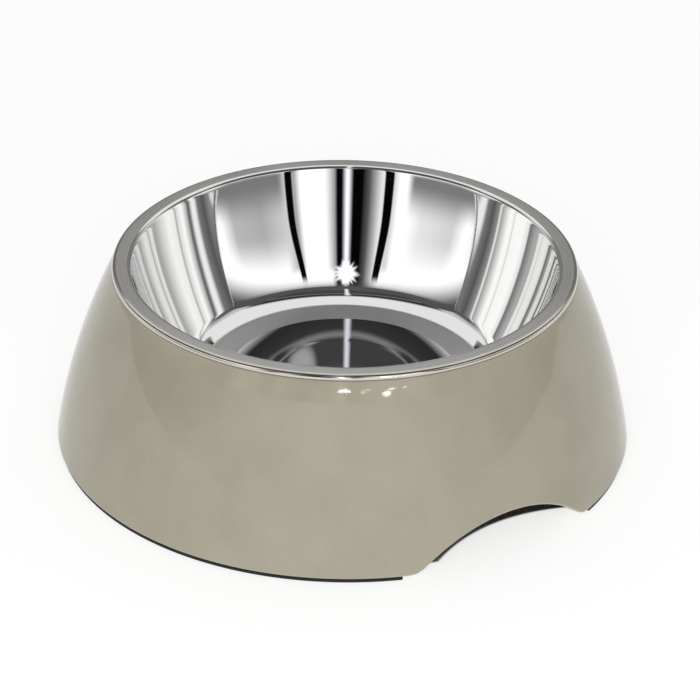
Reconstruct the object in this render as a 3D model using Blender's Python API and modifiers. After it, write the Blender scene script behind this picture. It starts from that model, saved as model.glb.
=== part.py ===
"""Pet bowl: a melamine stand with two finger notches, rubber foot strips and a steel bowl that lifts out."""

import math

import bmesh
import bpy

MM = 0.001
GAP = 0.3 * MM  # clearance wherever two pieces touch
STAND_STEPS = 108  # facets round the stand
BOWL_STEPS = 72  # facets round the steel bowl

# Stand: one convex flank from the foot up to the shoulder that carries the bowl's rim
FOOT_RADIUS = 109.6 * MM
FOOT_Z = 1.6 * MM
SHOULDER_RADIUS = 87.3 * MM
SHOULDER_Z = 70.3 * MM
FLANK_RADIUS = 245.0 * MM  # bulge of the flank, seen in section
WALL = 4.2 * MM
SHOULDER_ROUND = 0.4 * MM
MOUTH_ROUND = 0.8 * MM
FOOT_ROUND = 1.0 * MM
FOOT_WIDTH = 8.0 * MM
FOOT_HEIGHT = 6.0 * MM
FOOT_BLEND = 9.0 * MM  # height over which the thick foot runs out into the wall

# Finger notches: the foot rises in an arch with flared feet on the +X and -X sides
NOTCH_TOP = 17.2 * MM
NOTCH_RADIUS = 51.6 * MM
NOTCH_FLARE = 8.0 * MM
NOTCH_ZONE = 20.0 * MM  # below this height the wall is lifted whole, above it less and less
NOTCH_CROWDING = 0.05  # radians that facets are moved round the axis, towards the feet of the arches

# Rubber foot strips: a flat tread with a rib that presses into a groove in the foot
TREAD_OUTER = 108.7 * MM
TREAD_WIDTH = 5.6 * MM
TREAD_HEIGHT = FOOT_Z - GAP
RIB_RADIUS = 105.9 * MM
RIB_WIDTH = 2.0 * MM
RIB_HEIGHT = 2.2 * MM
STRIP_SWEEP = 134.5  # degrees
STRIP_STEPS = 26
STRIP_SIDES = (("front", -90.0), ("rear", 90.0))  # azimuth of the middle of each strip

# Steel bowl: pressed sheet with a flat rim, a turned-down edge, a curved wall, a ledge and a dished floor
SHEET = 0.8 * MM
RIM_RADIUS = 87.3 * MM
RIM_RISE = 1.8 * MM  # height of the rim above the shoulder that it rests on
RIM_ROUND = 1.5 * MM
MOUTH_RADIUS = 81.5 * MM
BEND_ROUND = 1.5 * MM
WALL_LEAN = 16.0  # degrees from upright, just under the rim
WALL_RADIUS = 180.0 * MM  # curve of the wall, seen in section
COVE_RADIUS = 7.5 * MM
LEDGE_DEPTH = 47.1 * MM  # from the rim down to the ledge's outer edge
LEDGE_WIDTH = 3.5 * MM
LEDGE_SLOPE = 20.0  # degrees
FLOOR_DISH = 2.0 * MM  # from the ledge's inner edge down to the middle
BOSS_OUTER = 28.8 * MM
BOSS_INNER = 26.4 * MM
BOSS_RISE = 0.4 * MM

SHARP_ANGLE = 40.0  # degrees; corners above this are shaded sharp

# Colour, roughness and metallic value of each material
FINISHES = {
    "melamine": ((0.40, 0.37, 0.29), 0.22, 0.0),
    "rubber": ((0.012, 0.011, 0.012), 0.8, 0.0),
    "polished_steel": ((0.72, 0.72, 0.71), 0.12, 1.0),
}


def clear_scene():
    """Remove every object, so that the script can be run again in the same file."""
    for obj in list(bpy.data.objects):
        bpy.data.objects.remove(obj, do_unlink=True)


def collection(name):
    """Return a new collection linked to the scene."""
    group = bpy.data.collections.new(name)
    bpy.context.scene.collection.children.link(group)
    return group


def finish(name):
    """Return a new material with one of the listed finishes."""
    colour, roughness, metallic = FINISHES[name]
    material = bpy.data.materials.new(name)
    material.use_nodes = True
    shader = material.node_tree.nodes["Principled BSDF"]
    shader.inputs["Base Color"].default_value = (*colour, 1.0)
    shader.inputs["Roughness"].default_value = roughness
    shader.inputs["Metallic"].default_value = metallic
    return material


def add_object(name, mesh, group, material=None):
    """Put a mesh into a group as a new object, with its material."""
    obj = bpy.data.objects.new(name, mesh)
    group.objects.link(obj)
    if material:
        mesh.materials.append(material)
    return obj


def add_cutter(name, mesh, group):
    """Put a mesh into a group as a tool that only cuts others."""
    obj = add_object(name, mesh, group)
    obj.hide_render = True
    obj.display_type = "WIRE"
    return obj


def arc(centre, radius, start, end, steps):
    """Points along an arc in a flat plane, from one angle in degrees to another, both ends included."""
    points = []
    for i in range(steps + 1):
        angle = math.radians(start + (end - start) * i / steps)
        points.append((centre[0] + radius * math.cos(angle), centre[1] + radius * math.sin(angle)))
    return points


def flank_centre():
    """Centre of the flank's arc, which passes through the foot and the shoulder."""
    run = FOOT_RADIUS - SHOULDER_RADIUS
    rise = SHOULDER_Z - FOOT_Z
    chord = math.hypot(run, rise)
    reach = math.sqrt(FLANK_RADIUS**2 - (chord / 2) ** 2)
    middle_r = (FOOT_RADIUS + SHOULDER_RADIUS) / 2
    middle_z = (FOOT_Z + SHOULDER_Z) / 2
    return middle_r - reach * rise / chord, middle_z - reach * run / chord


def behind_flank(depth, height):
    """Point at this height and this depth behind the flank, with the lean of the wall there in degrees."""
    centre_r, centre_z = flank_centre()
    radius = centre_r + math.sqrt((FLANK_RADIUS - depth) ** 2 - (height - centre_z) ** 2)
    lean = math.degrees(math.atan2(height - centre_z, radius - centre_r))
    return (radius, height), lean


def stand_profile():
    """Closed section of the stand, from the mouth over the shoulder, down the flank and up inside."""
    mouth, mouth_lean = behind_flank(WALL - MOUTH_ROUND, SHOULDER_Z - MOUTH_ROUND)
    shoulder, shoulder_lean = behind_flank(SHOULDER_ROUND, SHOULDER_Z - SHOULDER_ROUND)
    foot, foot_lean = behind_flank(FOOT_ROUND, FOOT_Z + FOOT_ROUND)
    foot_inner = FOOT_RADIUS - FOOT_WIDTH
    foot_top = FOOT_Z + FOOT_HEIGHT
    heel = (foot_inner + FOOT_ROUND, FOOT_Z + FOOT_ROUND)
    blend_lean = behind_flank(WALL, foot_top + FOOT_BLEND)[1]

    points = arc(mouth, MOUTH_ROUND, 180.0 + mouth_lean, 90.0, 3)
    points += arc(shoulder, SHOULDER_ROUND, 90.0, shoulder_lean, 2)
    points += arc(flank_centre(), FLANK_RADIUS, shoulder_lean, foot_lean, 7)[1:]
    points += arc(foot, FOOT_ROUND, foot_lean, -90.0, 3)[1:]
    points += arc(heel, FOOT_ROUND, -90.0, -180.0, 2)
    points.append((foot_inner, foot_top))
    points += arc(flank_centre(), FLANK_RADIUS - WALL, blend_lean, mouth_lean, 5)[:-1]
    return points


def floor_points(start, end, edge_radius, edge_z, steps):
    """Points along the bowl's dished floor from one radius to another, given the floor's outer edge."""
    points = []
    for i in range(steps + 1):
        radius = start + (end - start) * i / steps
        points.append((radius, edge_z - FLOOR_DISH * (1.0 - (radius / edge_radius) ** 2)))
    return points


def bowl_profile():
    """Upper face of the steel sheet from the axis to the rim's edge, with heights from the rim's seat."""
    lean = math.radians(WALL_LEAN)
    slope = math.radians(LEDGE_SLOPE)
    edge = (RIM_RADIUS - RIM_ROUND, RIM_RISE - RIM_ROUND)
    bend = (MOUTH_RADIUS, RIM_RISE - BEND_ROUND)
    reach = WALL_RADIUS + BEND_ROUND
    wall = (bend[0] - reach * math.cos(lean), bend[1] + reach * math.sin(lean))
    ledge_z = RIM_RISE - LEDGE_DEPTH
    inset = WALL_RADIUS - COVE_RADIUS
    foot = math.asin((wall[1] - COVE_RADIUS * math.cos(slope) - ledge_z) / inset)
    foot_lean = math.degrees(foot)
    cove = (wall[0] + inset * math.cos(foot), wall[1] - inset * math.sin(foot))
    floor_radius = cove[0] + COVE_RADIUS * math.sin(slope) - LEDGE_WIDTH
    floor_z = ledge_z - LEDGE_WIDTH * math.tan(slope)

    points = floor_points(0.0, BOSS_INNER, floor_radius, floor_z + BOSS_RISE, 2)
    points += floor_points(BOSS_OUTER, floor_radius, floor_radius, floor_z, 3)
    points += arc(cove, COVE_RADIUS, -90.0 + LEDGE_SLOPE, -foot_lean, 6)
    points += arc(wall, WALL_RADIUS, -foot_lean, -WALL_LEAN, 4)[1:]
    points += arc(bend, BEND_ROUND, 180.0 - WALL_LEAN, 90.0, 4)[1:]
    points += arc(edge, RIM_ROUND, 90.0, 0.0, 4)
    points.append((RIM_RADIUS, 0.0))
    return points


def strip_section():
    """Section of a foot strip: a flat tread with a rib standing on it."""
    tread_inner = TREAD_OUTER - TREAD_WIDTH
    rib_inner = RIB_RADIUS - RIB_WIDTH / 2
    rib_outer = RIB_RADIUS + RIB_WIDTH / 2
    rib_top = TREAD_HEIGHT + RIB_HEIGHT
    points = [(rib_inner, rib_top), (rib_outer, rib_top), (rib_outer, TREAD_HEIGHT)]
    points += [(TREAD_OUTER, TREAD_HEIGHT), (TREAD_OUTER, 0.0)]
    points += [(tread_inner, 0.0), (tread_inner, TREAD_HEIGHT), (rib_inner, TREAD_HEIGHT)]
    return points


def groove_section():
    """Section of the groove that takes a strip's rib, reaching down past the foot."""
    half = RIB_WIDTH / 2 + GAP
    top = TREAD_HEIGHT + RIB_HEIGHT + GAP
    inner = RIB_RADIUS - half
    outer = RIB_RADIUS + half
    return [(inner, top), (outer, top), (outer, 0.0), (inner, 0.0)]


def notch_height(across):
    """Height of the foot's edge at a distance across the notch: arch, flared foot or level."""
    across = abs(across)
    arch_z = NOTCH_TOP - NOTCH_RADIUS
    flare_z = FOOT_Z + NOTCH_FLARE
    flare_y = math.sqrt((NOTCH_RADIUS + NOTCH_FLARE) ** 2 - (flare_z - arch_z) ** 2)
    meeting = flare_y * NOTCH_RADIUS / (NOTCH_RADIUS + NOTCH_FLARE)
    if across < meeting:
        return arch_z + math.sqrt(NOTCH_RADIUS**2 - across**2)
    if across < flare_y:
        return flare_z - math.sqrt(NOTCH_FLARE**2 - (flare_y - across) ** 2)
    return FOOT_Z


def crowd_facets(mesh):
    """Move the facets round the axis, so that they are finest where the notches run out into the foot."""
    for vertex in mesh.vertices:
        x, y, z = vertex.co
        radius = math.hypot(x, y)
        azimuth = math.atan2(y, x)
        azimuth += NOTCH_CROWDING * math.sin(8.0 * azimuth)
        vertex.co = (radius * math.cos(azimuth), radius * math.sin(azimuth), z)


def lift_over_notches(mesh):
    """Slide the wall up along the flank, so that its rounded foot arches over both notches."""
    centre_r, centre_z = flank_centre()
    for vertex in mesh.vertices:
        x, y, z = vertex.co
        radius = math.hypot(x, y)
        reach = math.hypot(radius - centre_r, z - centre_z)
        share = min(1.0, (SHOULDER_Z - z) / (SHOULDER_Z - NOTCH_ZONE))
        height = z + share * (notch_height(FOOT_RADIUS * y / radius) - FOOT_Z)
        slid = centre_r + math.sqrt(reach**2 - (height - centre_z) ** 2)
        vertex.co = (x * slid / radius, y * slid / radius, height)


def profile_mesh(name, points, closed):
    """Mesh of edges through (radius, height) points in the XZ plane."""
    mesh = bpy.data.meshes.new(name)
    edges = [(i, i + 1) for i in range(len(points) - 1)]
    if closed:
        edges.append((len(points) - 1, 0))
    mesh.from_pydata([(r, 0.0, z) for r, z in points], edges, [])
    return mesh


def turn(obj, steps):
    """Turn an object's profile round the Z axis."""
    screw = obj.modifiers.new("turn", "SCREW")
    screw.axis = "Z"
    screw.steps = steps
    screw.render_steps = steps
    screw.use_merge_vertices = True
    screw.merge_threshold = 0.1 * MM
    screw.use_smooth_shade = True


def cut(obj, cutter):
    """Subtract a cutter from an object."""
    boolean = obj.modifiers.new(cutter.name, "BOOLEAN")
    boolean.operation = "DIFFERENCE"
    boolean.object = cutter


def apply_modifiers(obj):
    """Give an object the mesh that its modifiers make, drop the modifiers and return the mesh."""
    bpy.context.view_layer.update()
    evaluated = obj.evaluated_get(bpy.context.evaluated_depsgraph_get())
    obj.data = bpy.data.meshes.new_from_object(evaluated)
    obj.modifiers.clear()
    return obj.data


def smooth(mesh):
    """Shade a mesh smooth, with its real corners kept sharp."""
    mesh.shade_smooth()
    mesh.set_sharp_from_angle(angle=math.radians(SHARP_ANGLE))


def swept_mesh(name, section, middle, sweep):
    """Mesh of a section swept round the Z axis, centred on an azimuth, with both ends closed."""
    start = math.radians(middle - sweep / 2)
    shape = bmesh.new()
    corners = [shape.verts.new((r * math.cos(start), r * math.sin(start), z)) for r, z in section]
    face = shape.faces.new(corners)
    bmesh.ops.spin(
        shape,
        geom=[face],
        cent=(0.0, 0.0, 0.0),
        axis=(0.0, 0.0, 1.0),
        angle=math.radians(sweep),
        steps=STRIP_STEPS,
    )
    bmesh.ops.recalc_face_normals(shape, faces=shape.faces)
    mesh = bpy.data.meshes.new(name)
    shape.to_mesh(mesh)
    shape.free()
    smooth(mesh)
    return mesh


def build_stand(parts, cutters):
    """Melamine stand, turned, lifted over the notches, with a groove cut for each foot strip."""
    profile = profile_mesh("melamine_stand", stand_profile(), closed=True)
    stand = add_object("melamine_stand", profile, parts, finish("melamine"))
    turn(stand, STAND_STEPS)
    mesh = apply_modifiers(stand)
    crowd_facets(mesh)
    lift_over_notches(mesh)
    smooth(mesh)
    groove_sweep = STRIP_SWEEP + 2 * math.degrees(GAP / RIB_RADIUS)
    for side, middle in STRIP_SIDES:
        name = side + "_groove"
        groove = swept_mesh(name, groove_section(), middle, groove_sweep)
        cut(stand, add_cutter(name, groove, cutters))
    return stand


def build_strips(parts):
    """Two rubber foot strips, one along the front of the foot and one along the rear."""
    material = finish("rubber")
    strips = []
    for side, middle in STRIP_SIDES:
        name = side + "_foot_strip"
        mesh = swept_mesh(name, strip_section(), middle, STRIP_SWEEP)
        strips.append(add_object(name, mesh, parts, material))
    return strips


def build_bowl(parts):
    """Steel bowl, a turned sheet given its thickness, with its origin on the axis at the rim's seat."""
    profile = profile_mesh("steel_bowl", bowl_profile(), closed=False)
    bowl = add_object("steel_bowl", profile, parts, finish("polished_steel"))
    bowl.location = (0.0, 0.0, SHOULDER_Z + GAP)
    turn(bowl, BOWL_STEPS)
    sheet = bowl.modifiers.new("sheet", "SOLIDIFY")
    sheet.thickness = SHEET
    sheet.offset = -1.0
    sheet.use_even_offset = True
    return bowl


def main():
    """Build the whole assembly under one empty at the middle of its base."""
    clear_scene()
    parts = collection("melamine_pet_bowl")
    cutters = collection("cutters")
    base = add_object("base_centre", None, parts)
    stand = build_stand(parts, cutters)
    bowl = build_bowl(parts)
    for piece in [stand, bowl] + build_strips(parts):
        piece.parent = base


main()
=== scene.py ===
"""Looks of the pet bowl: finer meshes, finishes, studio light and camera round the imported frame."""

import math

import bmesh
import bpy
from mathutils import Matrix, Vector


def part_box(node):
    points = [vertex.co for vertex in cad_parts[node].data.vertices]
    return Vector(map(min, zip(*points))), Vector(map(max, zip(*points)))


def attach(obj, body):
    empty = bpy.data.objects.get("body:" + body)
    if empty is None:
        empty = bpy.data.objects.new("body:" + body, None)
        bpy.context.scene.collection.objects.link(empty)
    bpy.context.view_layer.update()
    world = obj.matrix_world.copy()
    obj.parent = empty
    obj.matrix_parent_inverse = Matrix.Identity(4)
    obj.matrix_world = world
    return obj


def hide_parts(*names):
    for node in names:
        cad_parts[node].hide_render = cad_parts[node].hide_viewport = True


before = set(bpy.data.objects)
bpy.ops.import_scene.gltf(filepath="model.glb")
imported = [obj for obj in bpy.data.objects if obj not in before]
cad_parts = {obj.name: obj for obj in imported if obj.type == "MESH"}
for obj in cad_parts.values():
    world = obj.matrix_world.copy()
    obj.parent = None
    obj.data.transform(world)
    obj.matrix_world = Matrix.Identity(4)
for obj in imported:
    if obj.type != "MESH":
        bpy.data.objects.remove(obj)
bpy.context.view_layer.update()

MM = 0.001
GAP = 0.3 * MM

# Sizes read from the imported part
stand_low, stand_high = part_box("melamine_stand")
bowl_low, bowl_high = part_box("steel_bowl")
strip_low, strip_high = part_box("front_foot_strip")
FOOT_Z = stand_low.z
SHOULDER_Z = stand_high.z
RIM_RADIUS = bowl_high.x
RIM_Z = bowl_high.z
RIM_SEAT_Z = SHOULDER_Z + GAP
TREAD_OUTER = -strip_low.y

# Melamine stand
STAND_STEPS = 288
FOOT_RADIUS = 109.6 * MM
SHOULDER_RADIUS = 87.3 * MM
FLANK_RADIUS = 245.0 * MM
WALL = 4.2 * MM
SHOULDER_ROUND = 0.4 * MM
MOUTH_ROUND = 0.8 * MM
FOOT_ROUND = 1.0 * MM
FOOT_WIDTH = 8.0 * MM
FOOT_HEIGHT = 6.0 * MM
FOOT_BLEND = 9.0 * MM
NOTCH_TOP = 17.2 * MM
NOTCH_RADIUS = 51.6 * MM
NOTCH_FLARE = 8.0 * MM
NOTCH_ZONE = 20.0 * MM

# Steel bowl
BOWL_STEPS = 288
SHEET = 0.8 * MM
RIM_ROUND = 1.5 * MM
MOUTH_RADIUS = 81.5 * MM
BEND_ROUND = 1.5 * MM
WALL_LEAN = 16.0
WALL_RADIUS = 180.0 * MM
COVE_RADIUS = 7.5 * MM
LEDGE_SLOPE = 20.0
LEDGE_DEPTH = 47.1 * MM
LEDGE_WIDTH = 3.5 * MM
PAN_SAG = 2.0 * MM
RING_RADIUS = 44.0 * MM
BOSS_OUTER = 28.8 * MM
BOSS_INNER = 26.4 * MM
BOSS_RISE = 0.4 * MM

# Rubber foot strips
TREAD_WIDTH = 5.6 * MM
TREAD_HEIGHT = FOOT_Z - GAP
TREAD_ROUND = 0.35 * MM
STRIP_SWEEP = 134.5
STRIP_STEPS = 160
STRIP_END_STEPS = 6

# Camera, as found from the photograph's outlines
VIEW_AZIMUTH = 55.4
VIEW_ELEVATION = 30.757
VIEW_DISTANCE = 1.1942
VIEW_ROLL = 0.921
AIM_HEIGHT = 33.9 * MM
AIM_ASIDE = 2.4 * MM
SENSOR = 36.0
FOCAL_PIXELS = 3092.5
FRAME_PIXELS = 700.0

# Finishes: noises as scale, detail and roughness, and the span in which most of a noise lies
NOISE_SPAN = (0.3, 0.7)
TAUPE = (0.388, 0.359, 0.274)
MELAMINE_IOR = 1.40
CLOUD_DEPTH = 0.30
CLOUD_NOISE = (42.0, 3.0, 0.55)
SPECK_NOISE = (900.0, 2.0, 0.6)
SPECK_SHARE = 0.25
CLOUD_MIDDLE = 0.62
PEEL_NOISE = (160.0, 1.0, 0.5)
PEEL_STRENGTH = 0.06
PEEL_HEIGHT = 0.4 * MM
MARK_DETAIL = (2.0, 0.6)
MARK_SHADE = 0.99
MARK_HEIGHT = 0.05 * MM
HAZE_NOISE = (28.0, 2.0, 0.5)
HAZE_SHARE = 0.5
ACROSS_MARKS = 0.25
RUBBER_DARK = (0.006, 0.006, 0.006, 1.0)
RUBBER_PALE = (0.018, 0.017, 0.017, 1.0)
RUBBER_ROUGHNESS = (0.7, 0.9)
GRAIN_NOISE = (1800.0, 3.0, 0.6)
GRAIN_STRENGTH = 0.3
GRAIN_HEIGHT = 0.05 * MM

# Melamine: name, roughness and its swing
MELAMINE_FINISHES = (
    ("melamine_gloss", 0.045, 0.015),
    ("melamine_satin", 0.42, 0.06),
)

# Steel by run of the bowl: name, colour, roughness, its swing, marks per metre, their strength, anisotropy
STEEL_COLOUR = (0.80, 0.80, 0.795)
STEEL_FINISHES = (
    ("spun_boss", STEEL_COLOUR, 0.06, 0.01, 3000.0, 0.008, 0.8),
    ("polished_pan", STEEL_COLOUR, 0.04, 0.008, 2500.0, 0.004, 0.6),
    ("satin_ring", (0.54, 0.54, 0.535), 0.60, 0.05, 3000.0, 0.05, 0.2),
    ("mirror_steel", STEEL_COLOUR, 0.02, 0.004, 1200.0, 0.0, 0.3),
    ("satin_rim", (0.62, 0.61, 0.58), 0.30, 0.05, 3000.0, 0.06, 0.4),
    ("rim_edge", (0.62, 0.59, 0.54), 0.12, 0.02, 3000.0, 0.01, 0.3),
    ("brushed_steel", (0.6, 0.6, 0.59), 0.36, 0.06, 2500.0, 0.15, 0.5),
)

# Bounces of light, and the count of glossy bounces that tells a first reflection from a later one
GLOSSY_BOUNCES = 12
MAX_BOUNCES = 16
LATER_BOUNCE = 1.5

# Studio dome: grey of the wall by angle from the camera, and a pale roof with a dark opening overhead
DOME_RADIUS = 6.0
DOME_FINENESS = 5
STUDIO_WALL = (
    (-180.0, 0.21),
    (-150.0, 0.21),
    (-125.0, 0.70),
    (-105.0, 0.12),
    (-70.0, 0.12),
    (-40.0, 0.90),
    (-25.0, 1.25),
    (25.0, 1.25),
    (40.0, 0.90),
    (70.0, 0.12),
    (105.0, 0.12),
    (125.0, 0.70),
    (150.0, 0.21),
    (180.0, 0.21),
)
STUDIO_ROOF = 0.65
STUDIO_EAVES = (30.0, 40.0)
OPENING = (
    (0.0, 1.35),
    (33.0, 1.35),
    (36.0, 0.60),
    (40.0, 0.30),
    (46.0, 0.17),
    (56.0, 0.10),
    (70.0, 0.06),
    (79.0, 0.07),
    (81.5, 0.30),
    (84.0, 0.05),
    (94.0, 0.03),
    (97.0, 0.30),
    (103.0, 0.95),
    (180.0, 0.95),
)
OPENING_SIDES = (43.0, 37.0)
OPENING_FOOT = (32.0, 34.0)

# Pale patch in the opening, only for later reflections: angle aside, half width, rise, half height, level
WINDOW = (14.0, 5.0, 70.0, 11.0, 0.50)
WINDOW_EDGE = (1.3, 0.2)

# Strip lamp overhead
LAMP_ANGLE = -1.0
LAMP_HALF_WIDTH = 0.5
LAMP_FADE = 3.0
LAMP_BACK = (-0.1, 0.0)
LAMP_RISE = (40.0, 46.0)
LAMP_COLOUR = (1.05, 1.05, 1.15, 1.0)

# Soft lamp behind the camera
SOFTBOX_WATTS = 7.0
SOFTBOX_SIZE = 1.2
SOFTBOX_RISE = 35.0
SOFTBOX_DISTANCE = 1.5

# White paper floor, with a painted shadow: dark under the stand where something near is overhead
PAPER_HALF = 4.0
PAPER_GREY = 0.45
PAPER_GLOW = 0.71
SHADE_COLOUR = (0.06, 0.05, 0.035, 1.0)
UNDER_STAND = (87.0 * MM, 88.5 * MM)
UNDER_STAND_MIDDLE = 10.0 * MM
UNDER_STAND_BOW = 8.0
UNDER_FOOT = (99.5 * MM, 101.0 * MM)
SHELTER_REACH = 60.0 * MM
SHELTER_SAMPLES = 12
SHELTER = (0.55, 0.75)

# Cloth that only glossy faces show: heights in mm, grey by angle for first and for later reflections
CLOTH_RADIUS = 200.0 * MM
CLOTH_SPAN = 104.0
CLOTH_STEPS = 104
CLOTH_LOW = 100.0
CLOTH_SPLIT = 198.0
CLOTH_HIGH = 340.0
CLOTH_TOP_RISE = 0.2
CLOTH_DROP = 0.0105
CLOTH_HEM_DROP = 0.0038
CLOTH_WHITE = 1.35
CLOTH_FIRST = (
    (-104.0, 0.60),
    (-84.0, 1.35),
    (-74.0, 0.80),
    (-51.0, 1.00),
    (-40.0, 1.35),
    (-35.0, 1.35),
    (-31.0, 0.85),
    (-23.0, 1.00),
    (-19.0, 0.48),
    (-15.0, 0.11),
    (-10.5, 0.002),
    (6.0, 0.002),
    (7.0, 0.35),
    (14.0, 1.35),
    (29.0, 1.35),
    (33.0, 0.45),
    (39.0, 0.80),
    (57.0, 0.52),
    (77.0, 0.60),
    (87.0, 1.35),
    (104.0, 0.60),
)
CLOTH_LATER = (
    (-104.0, 0.60),
    (-84.0, 0.25),
    (-80.0, 1.20),
    (-66.0, 1.50),
    (-45.0, 1.45),
    (-42.5, 1.00),
    (-40.0, 1.45),
    (-33.0, 1.50),
    (-18.0, 0.50),
    (-16.8, 1.15),
    (-15.0, 1.15),
    (-13.0, 0.40),
    (-4.0, 0.14),
    (5.0, 0.28),
    (9.5, 1.30),
    (14.0, 1.30),
    (18.5, 0.25),
    (21.5, 0.20),
    (23.5, 0.60),
    (33.0, 1.50),
    (43.5, 1.10),
    (46.5, 0.60),
    (50.0, 1.30),
    (66.0, 1.40),
    (104.0, 0.60),
)
LATER_SPREAD_FROM = 200.0
LATER_SPREAD = -0.0035

# Outer panels of the cloth: dim near the hem and white near the top, by share of the height
PANEL_EDGE = (38.0, 44.0)
PANEL_DIM = (0.40, 0.05)
PANEL_DIM_GREY = 0.24
PANEL_WHITE = (0.50, 0.95)

# Inner panels: white near the top, except round the dark middle
MIDDLE_ANGLE = -8.0
MIDDLE_EDGE = (14.0, 19.0)
MIDDLE_WHITE = (0.82, 0.92)

# Dark slots between the panels, as angle and half width, which bend inwards near the top
CLOTH_SLOTS = ((-27.5, 2.9), (36.8, 2.3))
SLOT_EDGE = 0.5
SLOT_BEND = (0.35, 1.15, 1.0, 1.14)
SLOT_TOP = (1.02, 0.92)
SLOT_GREY = 0.002

# Bright line of the strip lamp, and the grey above the split, in mm past it
LAMP_LINE = (3.9, -0.65)
LAMP_LINE_COLOUR = (1.5, 1.5, 1.6, 1.0)
SPLIT_FADE = (-6.0, 14.0)
SPLIT_GREY = 0.10

# Lamps on the cloth: angle, half width, height, half height, colour; a star, and spots for near faces only
LAMP_HEAD = (-1.0, 6.5, 189.0, 8.0, (2.0, 2.0, 2.15))
STAR_RAYS = 13.0
STAR_DEPTH = 0.35
STAR_SWAYS = 3.0
STAR_SWAY = 2.0
STAR_EDGE = (2.4, -0.2)
SPOT_REACH = (190.0 * MM, 170.0 * MM)
SPOT_EDGE = (1.2, 0.5)
LAMP_SPOTS = (
    (0.3, 2.3, 109.8, 1.2, (50.0, 50.0, 50.0)),
    (7.3, 0.9, 109.0, 0.6, (22.0, 20.0, 16.0)),
    (9.0, 1.0, 110.4, 0.35, (22.0, 20.0, 16.0)),
    (15.3, 1.8, 106.5, 2.3, (26.0, 24.0, 20.0)),
    (17.2, 1.9, 109.3, 0.5, (26.0, 24.0, 20.0)),
    (22.3, 0.8, 108.8, 0.6, (22.0, 20.5, 18.0)),
)


def arc(centre, radius, start, end, steps):
    """Points along an arc in a flat plane, from one angle in degrees to another, both ends included."""
    points = []
    for i in range(steps + 1):
        angle = math.radians(start + (end - start) * i / steps)
        points.append((centre[0] + radius * math.cos(angle), centre[1] + radius * math.sin(angle)))
    return points


def line(start, end, steps):
    """Points along a straight line, both ends included."""
    return [
        (start[0] + (end[0] - start[0]) * i / steps, start[1] + (end[1] - start[1]) * i / steps)
        for i in range(steps + 1)
    ]


def flank_centre():
    """Centre of the flank's arc, which passes through the foot and the shoulder."""
    run = FOOT_RADIUS - SHOULDER_RADIUS
    rise = SHOULDER_Z - FOOT_Z
    chord = math.hypot(run, rise)
    reach = math.sqrt(FLANK_RADIUS**2 - (chord / 2) ** 2)
    middle_r = (FOOT_RADIUS + SHOULDER_RADIUS) / 2
    middle_z = (FOOT_Z + SHOULDER_Z) / 2
    return middle_r - reach * rise / chord, middle_z - reach * run / chord


def behind_flank(depth, height):
    """Point at this height and this depth behind the flank, with the lean of the wall there in degrees."""
    centre_r, centre_z = flank_centre()
    radius = centre_r + math.sqrt((FLANK_RADIUS - depth) ** 2 - (height - centre_z) ** 2)
    lean = math.degrees(math.atan2(height - centre_z, radius - centre_r))
    return (radius, height), lean


def stand_section():
    """Section of the stand as runs of points: the polished outside, then the plain inside."""
    mouth, mouth_lean = behind_flank(WALL - MOUTH_ROUND, SHOULDER_Z - MOUTH_ROUND)
    shoulder, shoulder_lean = behind_flank(SHOULDER_ROUND, SHOULDER_Z - SHOULDER_ROUND)
    foot, foot_lean = behind_flank(FOOT_ROUND, FOOT_Z + FOOT_ROUND)
    foot_inner = FOOT_RADIUS - FOOT_WIDTH
    foot_top = FOOT_Z + FOOT_HEIGHT
    heel = (foot_inner + FOOT_ROUND, FOOT_Z + FOOT_ROUND)
    blend_lean = behind_flank(WALL, foot_top + FOOT_BLEND)[1]

    outside = arc(mouth, MOUTH_ROUND, 180.0 + mouth_lean, 90.0, 8)
    outside += arc(shoulder, SHOULDER_ROUND, 90.0, shoulder_lean, 6)
    outside += arc(flank_centre(), FLANK_RADIUS, shoulder_lean, foot_lean, 48)[1:]
    outside += arc(foot, FOOT_ROUND, foot_lean, -90.0, 10)[1:]
    inside = [outside[-1]]
    inside += arc(heel, FOOT_ROUND, -90.0, -180.0, 6)
    inside += line((foot_inner, heel[1]), (foot_inner, foot_top), 4)[1:]
    inside += arc(flank_centre(), FLANK_RADIUS - WALL, blend_lean, mouth_lean, 30)
    return [(0, outside), (1, inside)]


def notch_height(across):
    """Height of the foot's edge at a distance across the notch: arch, flared foot or level."""
    across = abs(across)
    arch_z = NOTCH_TOP - NOTCH_RADIUS
    flare_z = FOOT_Z + NOTCH_FLARE
    flare_y = math.sqrt((NOTCH_RADIUS + NOTCH_FLARE) ** 2 - (flare_z - arch_z) ** 2)
    meeting = flare_y * NOTCH_RADIUS / (NOTCH_RADIUS + NOTCH_FLARE)
    if across < meeting:
        return arch_z + math.sqrt(NOTCH_RADIUS**2 - across**2)
    if across < flare_y:
        return flare_z - math.sqrt(NOTCH_FLARE**2 - (flare_y - across) ** 2)
    return FOOT_Z


def lift_over_notches(mesh):
    """Slide the wall up along the flank, so that its rounded foot arches over both notches."""
    centre_r, centre_z = flank_centre()
    for vertex in mesh.vertices:
        x, y, z = vertex.co
        radius = math.hypot(x, y)
        reach = math.hypot(radius - centre_r, z - centre_z)
        share = min(1.0, (SHOULDER_Z - z) / (SHOULDER_Z - NOTCH_ZONE))
        height = z + share * (notch_height(FOOT_RADIUS * y / radius) - FOOT_Z)
        slid = centre_r + math.sqrt(reach**2 - (height - centre_z) ** 2)
        vertex.co = (x * slid / radius, y * slid / radius, height)


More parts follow.
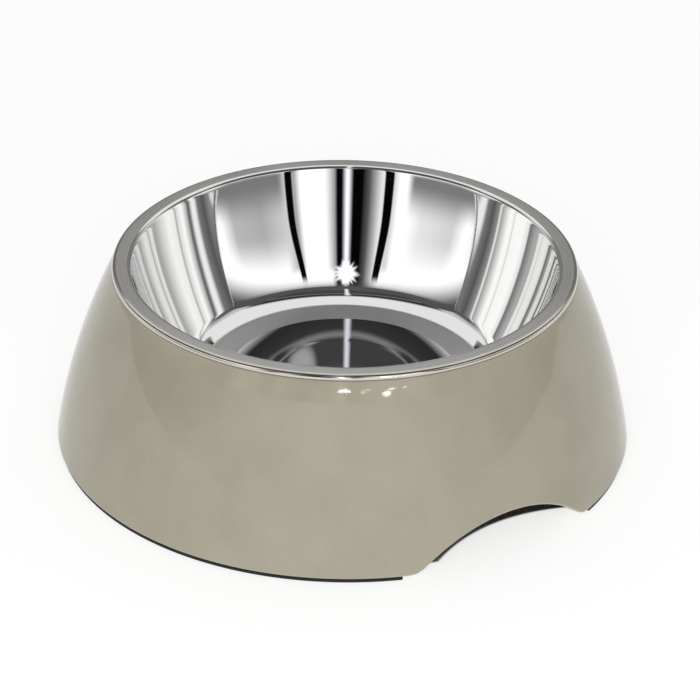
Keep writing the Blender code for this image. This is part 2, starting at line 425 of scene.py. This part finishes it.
def bowl_face():
    """Upper face of the steel sheet as runs of points: boss, pan, satin ring, mirror wall and rim."""
    lean = math.radians(WALL_LEAN)
    slope = math.radians(LEDGE_SLOPE)
    bend = (MOUTH_RADIUS, RIM_Z - BEND_ROUND)
    reach = WALL_RADIUS + BEND_ROUND
    wall = (bend[0] - reach * math.cos(lean), bend[1] + reach * math.sin(lean))
    ledge_z = RIM_Z - LEDGE_DEPTH
    inset = WALL_RADIUS - COVE_RADIUS
    foot = math.asin((wall[1] - COVE_RADIUS * math.cos(slope) - ledge_z) / inset)
    cove = (wall[0] + inset * math.cos(foot), wall[1] - inset * math.sin(foot))
    pan_radius = cove[0] + COVE_RADIUS * math.sin(slope) - LEDGE_WIDTH
    pan_z = ledge_z - LEDGE_WIDTH * math.tan(slope)
    wall_foot = -math.degrees(foot)
    edge = (RIM_RADIUS - RIM_ROUND, RIM_Z - RIM_ROUND)

    def dished(start, end, steps):
        points = []
        for radius, _ in line((start, 0.0), (end, 0.0), steps):
            height = pan_z - PAN_SAG * (1.0 - (radius / pan_radius) ** 2)
            share = min(1.0, max(0.0, (BOSS_OUTER - radius) / (BOSS_OUTER - BOSS_INNER)))
            points.append((radius, height + BOSS_RISE * share))
        return points

    boss = dished(0.0, BOSS_INNER, 14)
    pan = dished(BOSS_INNER, BOSS_OUTER, 3) + dished(BOSS_OUTER, RING_RADIUS, 10)[1:]
    ring = dished(RING_RADIUS, pan_radius, 16)
    face = arc(cove, COVE_RADIUS, -90.0 + LEDGE_SLOPE, wall_foot, 32)
    face = line(ring[-1], face[0], 8) + face[1:]
    face += arc(wall, WALL_RADIUS, wall_foot, -WALL_LEAN, 40)[1:]
    face += arc(bend, BEND_ROUND, 180.0 - WALL_LEAN, 90.0, 10)[1:]
    rim = line(face[-1], (edge[0], RIM_Z), 4)
    turn = arc(edge, RIM_ROUND, 90.0, 0.0, 12)
    turn += line(turn[-1], (RIM_RADIUS, RIM_SEAT_Z), 3)[1:]
    return [(0, boss), (1, pan), (2, ring), (3, face), (4, rim), (5, turn)]


def sheet_back(face):
    """The other face of a sheet, from its edge back to the axis."""
    back = []
    for i, point in enumerate(face):
        before = face[max(i - 1, 0)]
        after = face[min(i + 1, len(face) - 1)]
        run = after[0] - before[0]
        rise = after[1] - before[1]
        length = math.hypot(run, rise)
        back.append((max(0.0, point[0] + SHEET * rise / length), point[1] - SHEET * run / length))
    back[0] = (0.0, back[0][1])
    return back[::-1]


def bowl_section():
    """Section of the steel bowl, with the brushed back of the sheet after its face."""
    runs = bowl_face()
    face = runs[0][1] + [point for _, run in runs[1:] for point in run[1:]]
    return runs + [(6, face[-1:] + sheet_back(face))]


def turned_mesh(name, runs, steps, closed):
    """Mesh of a section turned round the Z axis, each run of points with its own material slot."""
    points = []
    slots = []
    for slot, run in runs:
        fresh = run if not points else run[1:]
        slots += [slot] * (len(fresh) - (0 if points else 1))
        points += fresh
    if closed:
        slots.append(runs[-1][0])

    vertices = []
    rings = []
    for radius, height in points:
        if radius < 1e-9:
            rings.append([len(vertices)] * steps)
            vertices.append((0.0, 0.0, height))
            continue
        rings.append(list(range(len(vertices), len(vertices) + steps)))
        for k in range(steps):
            angle = math.tau * k / steps
            vertices.append((radius * math.cos(angle), radius * math.sin(angle), height))

    faces = []
    face_slots = []
    for i, slot in enumerate(slots):
        low = rings[i]
        high = rings[(i + 1) % len(rings)]
        for k in range(steps):
            after = (k + 1) % steps
            corners = [low[k], high[k], high[after], low[after]]
            faces.append(list(dict.fromkeys(corners)))
            face_slots.append(slot)

    mesh = bpy.data.meshes.new(name)
    mesh.from_pydata(vertices, [], faces)
    mesh.polygons.foreach_set("material_index", face_slots)
    mesh.shade_smooth()
    return mesh


def strip_section():
    """Section of a foot strip's tread, with rounded corners."""
    inner = TREAD_OUTER - TREAD_WIDTH + TREAD_ROUND
    outer = TREAD_OUTER - TREAD_ROUND
    low = TREAD_ROUND
    high = TREAD_HEIGHT - TREAD_ROUND
    points = arc((outer, high), TREAD_ROUND, 90.0, 0.0, 4)
    points += arc((outer, low), TREAD_ROUND, 0.0, -90.0, 4)
    points += arc((inner, low), TREAD_ROUND, -90.0, -180.0, 4)
    points += arc((inner, high), TREAD_ROUND, -180.0, -270.0, 4)
    return points


def strip_mesh(name, middle):
    """Mesh of a foot strip along an arc centred on an azimuth, with rounded ends."""
    section = strip_section()
    centre = TREAD_OUTER - TREAD_WIDTH / 2
    middle_z = TREAD_HEIGHT / 2
    half = STRIP_SWEEP / 2
    end = math.degrees(TREAD_ROUND / centre)
    stations = []
    for i in range(STRIP_END_STEPS + 1):
        turn = math.radians(90.0 * i / STRIP_END_STEPS)
        stations.append((-half + end * (1.0 - math.sin(turn)), TREAD_ROUND * (1.0 - math.cos(turn))))
    stations.reverse()
    sweep = STRIP_SWEEP - 2 * end
    spread = [(-half + end + sweep * i / STRIP_STEPS, 0.0) for i in range(STRIP_STEPS + 1)]
    tail = [(-angle, inset) for angle, inset in reversed(stations)]
    path = stations[:-1] + spread + tail[1:]

    vertices = []
    for angle, inset in path:
        turn = math.radians(middle + angle)
        for radius, height in section:
            r = radius - math.copysign(min(inset, abs(radius - centre)), radius - centre)
            z = height - math.copysign(min(inset, abs(height - middle_z)), height - middle_z)
            vertices.append((r * math.cos(turn), r * math.sin(turn), z))
    count = len(section)
    faces = [list(range(count))[::-1], list(range(len(vertices) - count, len(vertices)))]
    for i in range(len(path) - 1):
        for k in range(count):
            after = (k + 1) % count
            faces.append([i * count + k, i * count + after, (i + 1) * count + after, (i + 1) * count + k])
    mesh = bpy.data.meshes.new(name)
    mesh.from_pydata(vertices, [], faces)
    mesh.shade_smooth()
    return mesh


def add_piece(name, mesh, materials, body, node):
    """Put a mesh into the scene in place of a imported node, riding on that node's body."""
    for material in materials:
        mesh.materials.append(material)
    piece = bpy.data.objects.new(name, mesh)
    bpy.context.scene.collection.objects.link(piece)
    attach(piece, body)
    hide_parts(node)


def add_node(tree, kind, **settings):
    """Add a shader node with these properties."""
    node = tree.nodes.new("ShaderNode" + kind)
    for key, value in settings.items():
        setattr(node, key, value)
    return node


def math_node(tree, operation, *values):
    """Add a Math node; each value is a number or the socket that feeds it."""
    node = add_node(tree, "Math", operation=operation)
    feed(tree, node, *values)
    return node.outputs[0]


def feed(tree, node, *values):
    """Set a node's inputs in order, each to a number or from a socket; None leaves it."""
    for socket, value in zip(node.inputs, values):
        if value is None:
            continue
        if isinstance(value, bpy.types.NodeSocket):
            tree.links.new(value, socket)
        else:
            socket.default_value = value


def map_range(tree, value, low, high, to_low=0.0, to_high=1.0, kind="SMOOTHSTEP"):
    """Map a value from one range to another, with soft ends unless told otherwise."""
    node = add_node(tree, "MapRange", interpolation_type=kind)
    feed(tree, node, value, low, high, to_low, to_high)
    return node.outputs[0]


def mix_colour(tree, factor, first, second):
    """Mix two colours, each a colour or the socket that gives it.

    The node keeps its colour sockets behind those for numbers and vectors.
    """
    node = add_node(tree, "Mix", data_type="RGBA")
    for socket, value in ((node.inputs[0], factor), (node.inputs[6], first), (node.inputs[7], second)):
        if isinstance(value, bpy.types.NodeSocket):
            tree.links.new(value, socket)
        else:
            socket.default_value = value
    return node.outputs[2]


def grey(level):
    """A neutral colour of this level."""
    return (level, level, level, 1.0)


def grey_ramp(tree, value, levels):
    """Look up a grey level by angle, from stops in degrees."""
    low, high = levels[0][0], levels[-1][0]
    node = add_node(tree, "ValToRGB")
    tree.links.new(map_range(tree, value, low, high, kind="LINEAR"), node.inputs[0])
    stops = node.color_ramp.elements
    while len(stops) < len(levels):
        stops.new(0.5)
    for stop, (degrees, level) in zip(stops, levels):
        stop.position = (degrees - low) / (high - low)
        stop.color = grey(level)
    return node.outputs[0]


def new_group(name, inputs, outputs):
    """Make a shader node group with named sockets and return it with its two end nodes."""
    group = bpy.data.node_groups.new(name, "ShaderNodeTree")
    for label, kind in inputs:
        group.interface.new_socket(label, in_out="INPUT", socket_type="NodeSocket" + kind)
    for label, kind in outputs:
        group.interface.new_socket(label, in_out="OUTPUT", socket_type="NodeSocket" + kind)
    return group, group.nodes.new("NodeGroupInput"), group.nodes.new("NodeGroupOutput")


def cloudy_group():
    """Soft clouds in a moulded colour, as pressed resin powder leaves them, with fine specks."""
    group, start, end = new_group(
        "cloudy_resin",
        [("Color", "Color"), ("Cloud Depth", "Float")],
        [("Color", "Color"), ("Clouds", "Float")],
    )
    place = add_node(group, "TexCoord")
    clouds = add_node(group, "TexNoise")
    feed(group, clouds, place.outputs["Object"], None, *CLOUD_NOISE)
    specks = add_node(group, "TexNoise")
    feed(group, specks, place.outputs["Object"], None, *SPECK_NOISE)
    both = math_node(group, "MULTIPLY_ADD", specks.outputs[0], SPECK_SHARE, clouds.outputs[0])
    off_middle = math_node(group, "SUBTRACT", both, CLOUD_MIDDLE)
    swing = math_node(group, "MULTIPLY", off_middle, start.outputs["Cloud Depth"])
    gain = math_node(group, "ADD", swing, 1.0)
    tint = add_node(group, "VectorMath", operation="SCALE")
    group.links.new(start.outputs["Color"], tint.inputs[0])
    group.links.new(gain, tint.inputs["Scale"])
    group.links.new(tint.outputs[0], end.inputs["Color"])
    group.links.new(clouds.outputs[0], end.inputs["Clouds"])
    return group


def ring_marks_group():
    """Fine polishing marks that run round the axis, as a wheel leaves them on turning steel."""
    group, start, end = new_group(
        "ring_marks",
        [("Marks per Metre", "Float")],
        [("Marks", "Float"), ("Haze", "Float")],
    )
    place = add_node(group, "TexCoord")
    split = add_node(group, "SeparateXYZ")
    group.links.new(place.outputs["Object"], split.inputs[0])
    x, y, z = split.outputs
    squares = math_node(group, "MULTIPLY_ADD", x, x, math_node(group, "MULTIPLY", y, y))
    radius = math_node(group, "SQRT", squares)
    across = add_node(group, "CombineXYZ")
    feed(group, across, radius, z, 0.0)
    marks = add_node(group, "TexNoise", noise_dimensions="2D")
    feed(group, marks, across.outputs[0], None, start.outputs["Marks per Metre"], *MARK_DETAIL)
    haze = add_node(group, "TexNoise")
    feed(group, haze, place.outputs["Object"], None, *HAZE_NOISE)
    group.links.new(marks.outputs[0], end.inputs["Marks"])
    group.links.new(haze.outputs[0], end.inputs["Haze"])
    return group


def place_group(tree, group, **values):
    """Place a node group in a material, with its own values."""
    node = tree.nodes.new("ShaderNodeGroup")
    node.node_tree = group
    for label, value in values.items():
        node.inputs[label.replace("_", " ")].default_value = value
    return node


def new_material(name):
    """Make a node material and return it with its tree and its Principled shader."""
    material = bpy.data.materials.new(name)
    material.use_nodes = True
    tree = material.node_tree
    return material, tree, tree.nodes["Principled BSDF"]


def bare_material(name):
    """Make a node material with an empty tree and return it with that tree."""
    material = bpy.data.materials.new(name)
    material.use_nodes = True
    material.node_tree.nodes.clear()
    return material, material.node_tree


def raise_surface(tree, shader, height, strength, distance):
    """Bump a shader's surface by a height."""
    bump = add_node(tree, "Bump")
    bump.inputs["Strength"].default_value = strength
    bump.inputs["Distance"].default_value = distance
    tree.links.new(height, bump.inputs["Height"])
    tree.links.new(bump.outputs[0], shader.inputs["Normal"])


def melamine(name, clouds, roughness, swing):
    """Moulded melamine: a cloudy taupe, with a little unevenness in its gloss."""
    material, tree, shader = new_material(name)
    resin = place_group(tree, clouds, Color=(*TAUPE, 1.0), Cloud_Depth=CLOUD_DEPTH)
    tree.links.new(resin.outputs["Color"], shader.inputs["Base Color"])
    tree.links.new(
        map_range(tree, resin.outputs["Clouds"], *NOISE_SPAN, roughness - swing, roughness + swing),
        shader.inputs["Roughness"],
    )
    shader.inputs["IOR"].default_value = MELAMINE_IOR
    peel = add_node(tree, "TexNoise")
    place = add_node(tree, "TexCoord")
    feed(tree, peel, place.outputs["Object"], None, *PEEL_NOISE)
    raise_surface(tree, shader, peel.outputs[0], PEEL_STRENGTH, PEEL_HEIGHT)
    return material


def steel(name, marks, colour, roughness, swing, marks_per_metre, strength, anisotropy):
    """Stainless steel with polishing marks round the axis, which stretch its highlights across them."""
    material, tree, shader = new_material(name)
    shader.inputs["Metallic"].default_value = 1.0
    shader.inputs["Anisotropic"].default_value = anisotropy
    shader.inputs["Anisotropic Rotation"].default_value = ACROSS_MARKS
    rings = place_group(tree, marks, Marks_per_Metre=marks_per_metre)
    line_mask = map_range(tree, rings.outputs["Marks"], *NOISE_SPAN)
    shade = (*[c * MARK_SHADE for c in colour], 1.0)
    tree.links.new(mix_colour(tree, line_mask, shade, (*colour, 1.0)), shader.inputs["Base Color"])
    lines = math_node(tree, "MULTIPLY", rings.outputs["Marks"], 1.0 - HAZE_SHARE)
    uneven = math_node(tree, "MULTIPLY_ADD", rings.outputs["Haze"], HAZE_SHARE, lines)
    tree.links.new(
        map_range(tree, uneven, *NOISE_SPAN, roughness - swing, roughness + swing),
        shader.inputs["Roughness"],
    )
    raise_surface(tree, shader, rings.outputs["Marks"], strength, MARK_HEIGHT)
    round_axis = add_node(tree, "Tangent", direction_type="RADIAL", axis="Z")
    tree.links.new(round_axis.outputs[0], shader.inputs["Tangent"])
    return material


def rubber(name):
    """Soft black rubber with a fine grain."""
    material, tree, shader = new_material(name)
    place = add_node(tree, "TexCoord")
    grain = add_node(tree, "TexNoise")
    feed(tree, grain, place.outputs["Object"], None, *GRAIN_NOISE)
    colour = mix_colour(tree, grain.outputs[0], RUBBER_DARK, RUBBER_PALE)
    tree.links.new(colour, shader.inputs["Base Color"])
    roughness = map_range(tree, grain.outputs[0], *NOISE_SPAN, *RUBBER_ROUGHNESS)
    tree.links.new(roughness, shader.inputs["Roughness"])
    raise_surface(tree, shader, grain.outputs[0], GRAIN_STRENGTH, GRAIN_HEIGHT)
    return material


def paper_finish():
    """White paper with a glow of its own, and a painted shadow: dark behind a curve under the stand where it
    is sheltered.
    """
    material, tree = bare_material("white_paper_painted_shadow")
    place = add_node(tree, "NewGeometry")
    parts = add_node(tree, "SeparateXYZ")
    tree.links.new(place.outputs["Position"], parts.inputs[0])
    x, y, _ = parts.outputs
    # Painted shadow: the floor's colour and glow are darkened inside this curve and circle under the stand
    beside = math_node(tree, "SUBTRACT", y, UNDER_STAND_MIDDLE)
    bow = math_node(tree, "MULTIPLY", math_node(tree, "MULTIPLY", beside, beside), UNDER_STAND_BOW)
    out = math_node(tree, "SUBTRACT", math_node(tree, "ABSOLUTE", x), bow)
    radius = add_node(tree, "VectorMath", operation="LENGTH")
    tree.links.new(place.outputs["Position"], radius.inputs[0])
    outside = math_node(
        tree,
        "MAXIMUM",
        map_range(tree, out, *UNDER_STAND),
        map_range(tree, radius.outputs["Value"], *UNDER_FOOT),
    )
    # The painted shadow stays only where ambient occlusion finds something near overhead
    shelter = add_node(tree, "AmbientOcclusion", samples=SHELTER_SAMPLES)
    shelter.inputs["Distance"].default_value = SHELTER_REACH
    lit = math_node(tree, "MAXIMUM", outside, map_range(tree, shelter.outputs["AO"], *SHELTER))
    paper = add_node(tree, "BsdfDiffuse")
    tree.links.new(mix_colour(tree, lit, SHADE_COLOUR, grey(PAPER_GREY)), paper.inputs["Color"])
    glow = add_node(tree, "Emission")
    tree.links.new(math_node(tree, "MULTIPLY", lit, PAPER_GLOW), glow.inputs["Strength"])
    both = add_node(tree, "AddShader")
    tree.links.new(paper.outputs[0], both.inputs[0])
    tree.links.new(glow.outputs[0], both.inputs[1])
    end = add_node(tree, "OutputMaterial")
    tree.links.new(both.outputs[0], end.inputs["Surface"])
    return material


def paper_floor():
    """Wide sheet of white paper that keeps the shadow, carries a painted shadow under the stand, and shows as
    white to the camera and in reflections.
    """
    half = PAPER_HALF
    mesh = bpy.data.meshes.new("paper_floor")
    corners = [(-half, -half, 0.0), (half, -half, 0.0), (half, half, 0.0), (-half, half, 0.0)]
    mesh.from_pydata(corners, [], [(0, 1, 2, 3)])
    mesh.materials.append(paper_finish())
    floor = bpy.data.objects.new("paper_floor", mesh)
    bpy.context.scene.collection.objects.link(floor)


def studio_direction(tree, vector):
    """Split a direction or a place into its parts towards the camera, aside and up, with its angle aside."""
    turned = add_node(tree, "VectorRotate", rotation_type="Z_AXIS")
    tree.links.new(vector, turned.inputs["Vector"])
    turned.inputs["Angle"].default_value = math.radians(90.0 - VIEW_AZIMUTH)
    split = add_node(tree, "SeparateXYZ")
    tree.links.new(turned.outputs[0], split.inputs[0])
    towards, aside, height = split.outputs
    angle = math_node(tree, "DEGREES", math_node(tree, "ARCTAN2", aside, towards))
    return towards, aside, height, angle


def distance_from(tree, value, middle):
    """How far a value is from a middle value."""
    return math_node(tree, "ABSOLUTE", math_node(tree, "SUBTRACT", value, middle))


def ellipse_reach(tree, x, middle_x, half_x, y, middle_y, half_y):
    """Square of the reach from the middle of an ellipse: 1 on its edge."""
    side = math_node(tree, "DIVIDE", math_node(tree, "SUBTRACT", x, middle_x), half_x)
    rise = math_node(tree, "DIVIDE", math_node(tree, "SUBTRACT", y, middle_y), half_y)
    return math_node(tree, "MULTIPLY_ADD", side, side, math_node(tree, "MULTIPLY", rise, rise))


def later_reflection(tree, path):
    """1 for light that was reflected more than once by glossy faces, else 0."""
    return math_node(tree, "GREATER_THAN", path.outputs["Glossy Depth"], LATER_BOUNCE)


def glow_only(tree, colour):
    """End a material in a plain glow of this colour."""
    glow = add_node(tree, "Emission")
    tree.links.new(colour, glow.inputs["Color"])
    end = add_node(tree, "OutputMaterial")
    tree.links.new(glow.outputs[0], end.inputs["Surface"])


def white_surroundings():
    """Plain white all round, for the camera that looks past the floor."""
    world = bpy.data.worlds.new("white_surroundings")
    world.use_nodes = True
    world.node_tree.nodes["Background"].inputs["Color"].default_value = grey(1.0)
    bpy.context.scene.world = world


def studio_dome_finish():
    """Soft studio: a pale wall all round, a pale roof with a dark opening, and a strip lamp overhead."""
    material, tree = bare_material("studio_dome")
    material.cycles.emission_sampling = "NONE"
    place = add_node(tree, "NewGeometry")
    outwards = add_node(tree, "VectorMath", operation="NORMALIZE")
    tree.links.new(place.outputs["Position"], outwards.inputs[0])
    towards, aside, height, angle = studio_direction(tree, outwards.outputs["Vector"])

    wall = grey_ramp(tree, angle, STUDIO_WALL)
    rise = math_node(tree, "DEGREES", math_node(tree, "ARCSINE", height))
    colour = mix_colour(tree, map_range(tree, rise, *STUDIO_EAVES), wall, grey(STUDIO_ROOF))

    over = math_node(tree, "DEGREES", math_node(tree, "ARCTAN2", height, towards))
    opening = grey_ramp(tree, over, OPENING)
    across = math_node(tree, "DEGREES", math_node(tree, "ARCSINE", aside))
    middle, half, up, tall, level = WINDOW
    reach = ellipse_reach(tree, across, middle, half, over, up, tall)
    again = later_reflection(tree, add_node(tree, "LightPath"))
    seen = math_node(tree, "MULTIPLY", again, map_range(tree, reach, *WINDOW_EDGE))
    opening = mix_colour(tree, seen, opening, grey(level))
    within = math_node(
        tree,
        "MULTIPLY",
        map_range(tree, math_node(tree, "ABSOLUTE", across), *OPENING_SIDES),
        map_range(tree, rise, *OPENING_FOOT),
    )
    colour = mix_colour(tree, within, colour, opening)

    beside = distance_from(tree, aside, math.sin(math.radians(LAMP_ANGLE)))
    fade = math.sin(math.radians(LAMP_HALF_WIDTH)) * LAMP_FADE
    ahead = map_range(tree, towards, *LAMP_BACK)
    overhead = math_node(tree, "MULTIPLY", ahead, map_range(tree, rise, *LAMP_RISE))
    strip = math_node(tree, "MULTIPLY", map_range(tree, beside, fade, 0.0), overhead)
    glow_only(tree, mix_colour(tree, strip, colour, LAMP_COLOUR))
    return material


def studio_dome():
    """Wide dome round the floor that carries the studio's light."""
    shell = bmesh.new()
    bmesh.ops.create_icosphere(shell, subdivisions=DOME_FINENESS, radius=DOME_RADIUS)
    mesh = bpy.data.meshes.new("studio_dome")
    shell.to_mesh(mesh)
    shell.free()
    mesh.materials.append(studio_dome_finish())
    dome = bpy.data.objects.new("studio_dome", mesh)
    bpy.context.scene.collection.objects.link(dome)
    dome.visible_camera = False


def first_pattern(tree, angle, height, split):
    """Panels, slots and lamp line of the cloth, as first reflections show them."""
    bow = math_node(tree, "MULTIPLY", angle, angle)
    low = math_node(tree, "MULTIPLY_ADD", bow, -CLOTH_HEM_DROP, CLOTH_LOW)
    share = map_range(tree, height, low, split, kind="LINEAR")

    colour = grey_ramp(tree, angle, CLOTH_FIRST)
    panel = map_range(tree, math_node(tree, "ABSOLUTE", angle), *PANEL_EDGE)
    dim = math_node(tree, "MULTIPLY", panel, map_range(tree, share, *PANEL_DIM))
    colour = mix_colour(tree, dim, colour, grey(PANEL_DIM_GREY))
    outer = math_node(tree, "MULTIPLY", panel, map_range(tree, share, *PANEL_WHITE))
    beside = map_range(tree, distance_from(tree, angle, MIDDLE_ANGLE), *MIDDLE_EDGE)
    inner = math_node(tree, "MULTIPLY", beside, map_range(tree, share, *MIDDLE_WHITE))
    white = math_node(tree, "MAXIMUM", outer, inner)
    colour = mix_colour(tree, white, colour, grey(CLOTH_WHITE))

    bent = math_node(tree, "MULTIPLY", angle, map_range(tree, share, *SLOT_BEND))
    for middle, half in CLOTH_SLOTS:
        slot = map_range(tree, distance_from(tree, bent, middle), half + SLOT_EDGE, half - SLOT_EDGE)
        slot = math_node(tree, "MULTIPLY", slot, map_range(tree, share, *SLOT_TOP))
        colour = mix_colour(tree, slot, colour, grey(SLOT_GREY))
    lamp_line = map_range(tree, distance_from(tree, angle, LAMP_ANGLE), *LAMP_LINE)
    colour = mix_colour(tree, lamp_line, colour, LAMP_LINE_COLOUR)
    past = math_node(tree, "SUBTRACT", height, split)
    return mix_colour(tree, map_range(tree, past, *SPLIT_FADE), colour, grey(SPLIT_GREY))


def later_pattern(tree, angle, height):
    """Panels of the cloth as later reflections show them, spread apart towards the top."""
    off_level = math_node(tree, "SUBTRACT", height, LATER_SPREAD_FROM)
    spread = math_node(tree, "MULTIPLY_ADD", off_level, LATER_SPREAD, 1.0)
    return grey_ramp(tree, math_node(tree, "MULTIPLY", angle, spread), CLOTH_LATER)


def star_reach(tree, angle, turn, half, height, up, tall):
    """Reach from the middle of the lamp head, drawn out into uneven rays."""
    reach = ellipse_reach(tree, angle, turn, half, height, up, tall)
    rise = math_node(tree, "DIVIDE", math_node(tree, "SUBTRACT", height, up), tall)
    side = math_node(tree, "DIVIDE", math_node(tree, "SUBTRACT", angle, turn), half)
    heading = math_node(tree, "ARCTAN2", rise, side)
    swing = math_node(tree, "SINE", math_node(tree, "MULTIPLY", heading, STAR_SWAYS))
    sway = math_node(tree, "MULTIPLY", swing, STAR_SWAY)
    rays = math_node(tree, "COSINE", math_node(tree, "MULTIPLY_ADD", heading, STAR_RAYS, sway))
    return math_node(tree, "MULTIPLY", reach, math_node(tree, "MULTIPLY_ADD", rays, STAR_DEPTH, 1.0))


def hung_cloth_finish():
    """Glow of the cloth: one pattern for first reflections, one for later ones, and lamps on it."""
    material, tree = bare_material("hung_cloth")
    material.cycles.emission_sampling = "NONE"
    place = add_node(tree, "NewGeometry")
    _, _, height, angle = studio_direction(tree, place.outputs["Position"])
    height = math_node(tree, "DIVIDE", height, MM)
    bow = math_node(tree, "MULTIPLY", angle, angle)
    split = math_node(tree, "MULTIPLY_ADD", bow, -CLOTH_DROP, CLOTH_SPLIT)
    path = add_node(tree, "LightPath")
    again = later_reflection(tree, path)
    pattern = first_pattern(tree, angle, height, split)
    colour = mix_colour(tree, again, pattern, later_pattern(tree, angle, height))

    turn, half, up, tall, level = LAMP_HEAD
    reach = star_reach(tree, angle, turn, half, height, up, tall)
    first = math_node(tree, "SUBTRACT", 1.0, again)
    shine = math_node(tree, "MULTIPLY", first, map_range(tree, reach, *STAR_EDGE))
    colour = mix_colour(tree, shine, colour, (*level, 1.0))
    near = map_range(tree, path.outputs["Ray Length"], *SPOT_REACH)
    for turn, half, up, tall, level in LAMP_SPOTS:
        reach = ellipse_reach(tree, angle, turn, half, height, up, tall)
        spot = math_node(tree, "MULTIPLY", near, map_range(tree, reach, *SPOT_EDGE))
        colour = mix_colour(tree, spot, colour, (*level, 1.0))
    glow_only(tree, colour)
    return material


def hung_cloth():
    """Cloth on a round rail in front of the bowl, seen only in glossy reflections."""
    vertices = []
    for i in range(CLOTH_STEPS + 1):
        aside = -CLOTH_SPAN + 2.0 * CLOTH_SPAN * i / CLOTH_STEPS
        turn = math.radians(VIEW_AZIMUTH - 90.0 + aside)
        x = CLOTH_RADIUS * math.cos(turn)
        y = CLOTH_RADIUS * math.sin(turn)
        hem = (CLOTH_LOW - CLOTH_HEM_DROP * aside**2) * MM
        top = (CLOTH_HIGH + CLOTH_TOP_RISE * abs(aside)) * MM
        vertices += [(x, y, hem), (x, y, top)]
    faces = [(2 * i, 2 * i + 2, 2 * i + 3, 2 * i + 1) for i in range(CLOTH_STEPS)]
    mesh = bpy.data.meshes.new("hung_cloth")
    mesh.from_pydata(vertices, [], faces)
    mesh.materials.append(hung_cloth_finish())
    cloth = bpy.data.objects.new("hung_cloth", mesh)
    bpy.context.scene.collection.objects.link(cloth)
    cloth.visible_camera = False
    cloth.visible_diffuse = False
    cloth.visible_shadow = False


def from_view(elevation):
    """Direction from the bowl towards the camera's side, at an elevation in degrees."""
    azimuth = math.radians(VIEW_AZIMUTH)
    rise = math.radians(elevation)
    return Vector((math.sin(azimuth) * math.cos(rise), -math.cos(azimuth) * math.cos(rise), math.sin(rise)))


def softbox():
    """Large soft lamp behind the camera, kept out of the reflections."""
    data = bpy.data.lights.new("softbox", "AREA")
    data.shape = "SQUARE"
    data.size = SOFTBOX_SIZE
    data.energy = SOFTBOX_WATTS
    lamp = bpy.data.objects.new("softbox", data)
    bpy.context.scene.collection.objects.link(lamp)
    back = from_view(SOFTBOX_RISE)
    lamp.location = back * SOFTBOX_DISTANCE
    lamp.rotation_euler = back.to_track_quat("Z", "Y").to_euler()
    lamp.visible_glossy = False


def aim_camera():
    """Camera at the photograph's viewing angle."""
    data = bpy.data.cameras.new("camera")
    data.sensor_width = SENSOR
    data.lens = FOCAL_PIXELS / FRAME_PIXELS * SENSOR
    camera = bpy.data.objects.new("camera", data)
    bpy.context.scene.collection.objects.link(camera)
    azimuth = math.radians(VIEW_AZIMUTH)
    right = Vector((math.cos(azimuth), math.sin(azimuth), 0.0))
    place = from_view(VIEW_ELEVATION) * VIEW_DISTANCE
    aim = Vector((0.0, 0.0, AIM_HEIGHT)) + right * AIM_ASIDE
    turn = (aim - place).to_track_quat("-Z", "Y").to_matrix().to_4x4()
    roll = Matrix.Rotation(math.radians(VIEW_ROLL), 4, "Z")
    camera.matrix_world = Matrix.Translation(place) @ turn @ roll
    bpy.context.scene.camera = camera


def main():
    """Build the looks and the stage."""
    clouds = cloudy_group()
    marks = ring_marks_group()
    melamines = [melamine(name, clouds, *finish) for name, *finish in MELAMINE_FINISHES]
    steels = [steel(name, marks, *finish) for name, *finish in STEEL_FINISHES]

    stand_mesh = turned_mesh("stand", stand_section(), STAND_STEPS, closed=True)
    lift_over_notches(stand_mesh)
    add_piece("stand", stand_mesh, melamines, "stand", "melamine_stand")
    bowl_mesh = turned_mesh("bowl", bowl_section(), BOWL_STEPS, closed=False)
    add_piece("bowl", bowl_mesh, steels, "bowl", "steel_bowl")
    black = rubber("foot_rubber")
    for side, middle in (("front", -90.0), ("rear", 90.0)):
        mesh = strip_mesh(side + "_strip", middle)
        add_piece(side + "_strip", mesh, [black], "stand", side + "_foot_strip")

    paper_floor()
    white_surroundings()
    studio_dome()
    hung_cloth()
    softbox()
    aim_camera()
    bpy.context.scene.view_settings.view_transform = "Standard"
    bpy.context.scene.cycles.glossy_bounces = GLOSSY_BOUNCES
    bpy.context.scene.cycles.max_bounces = MAX_BOUNCES


main()
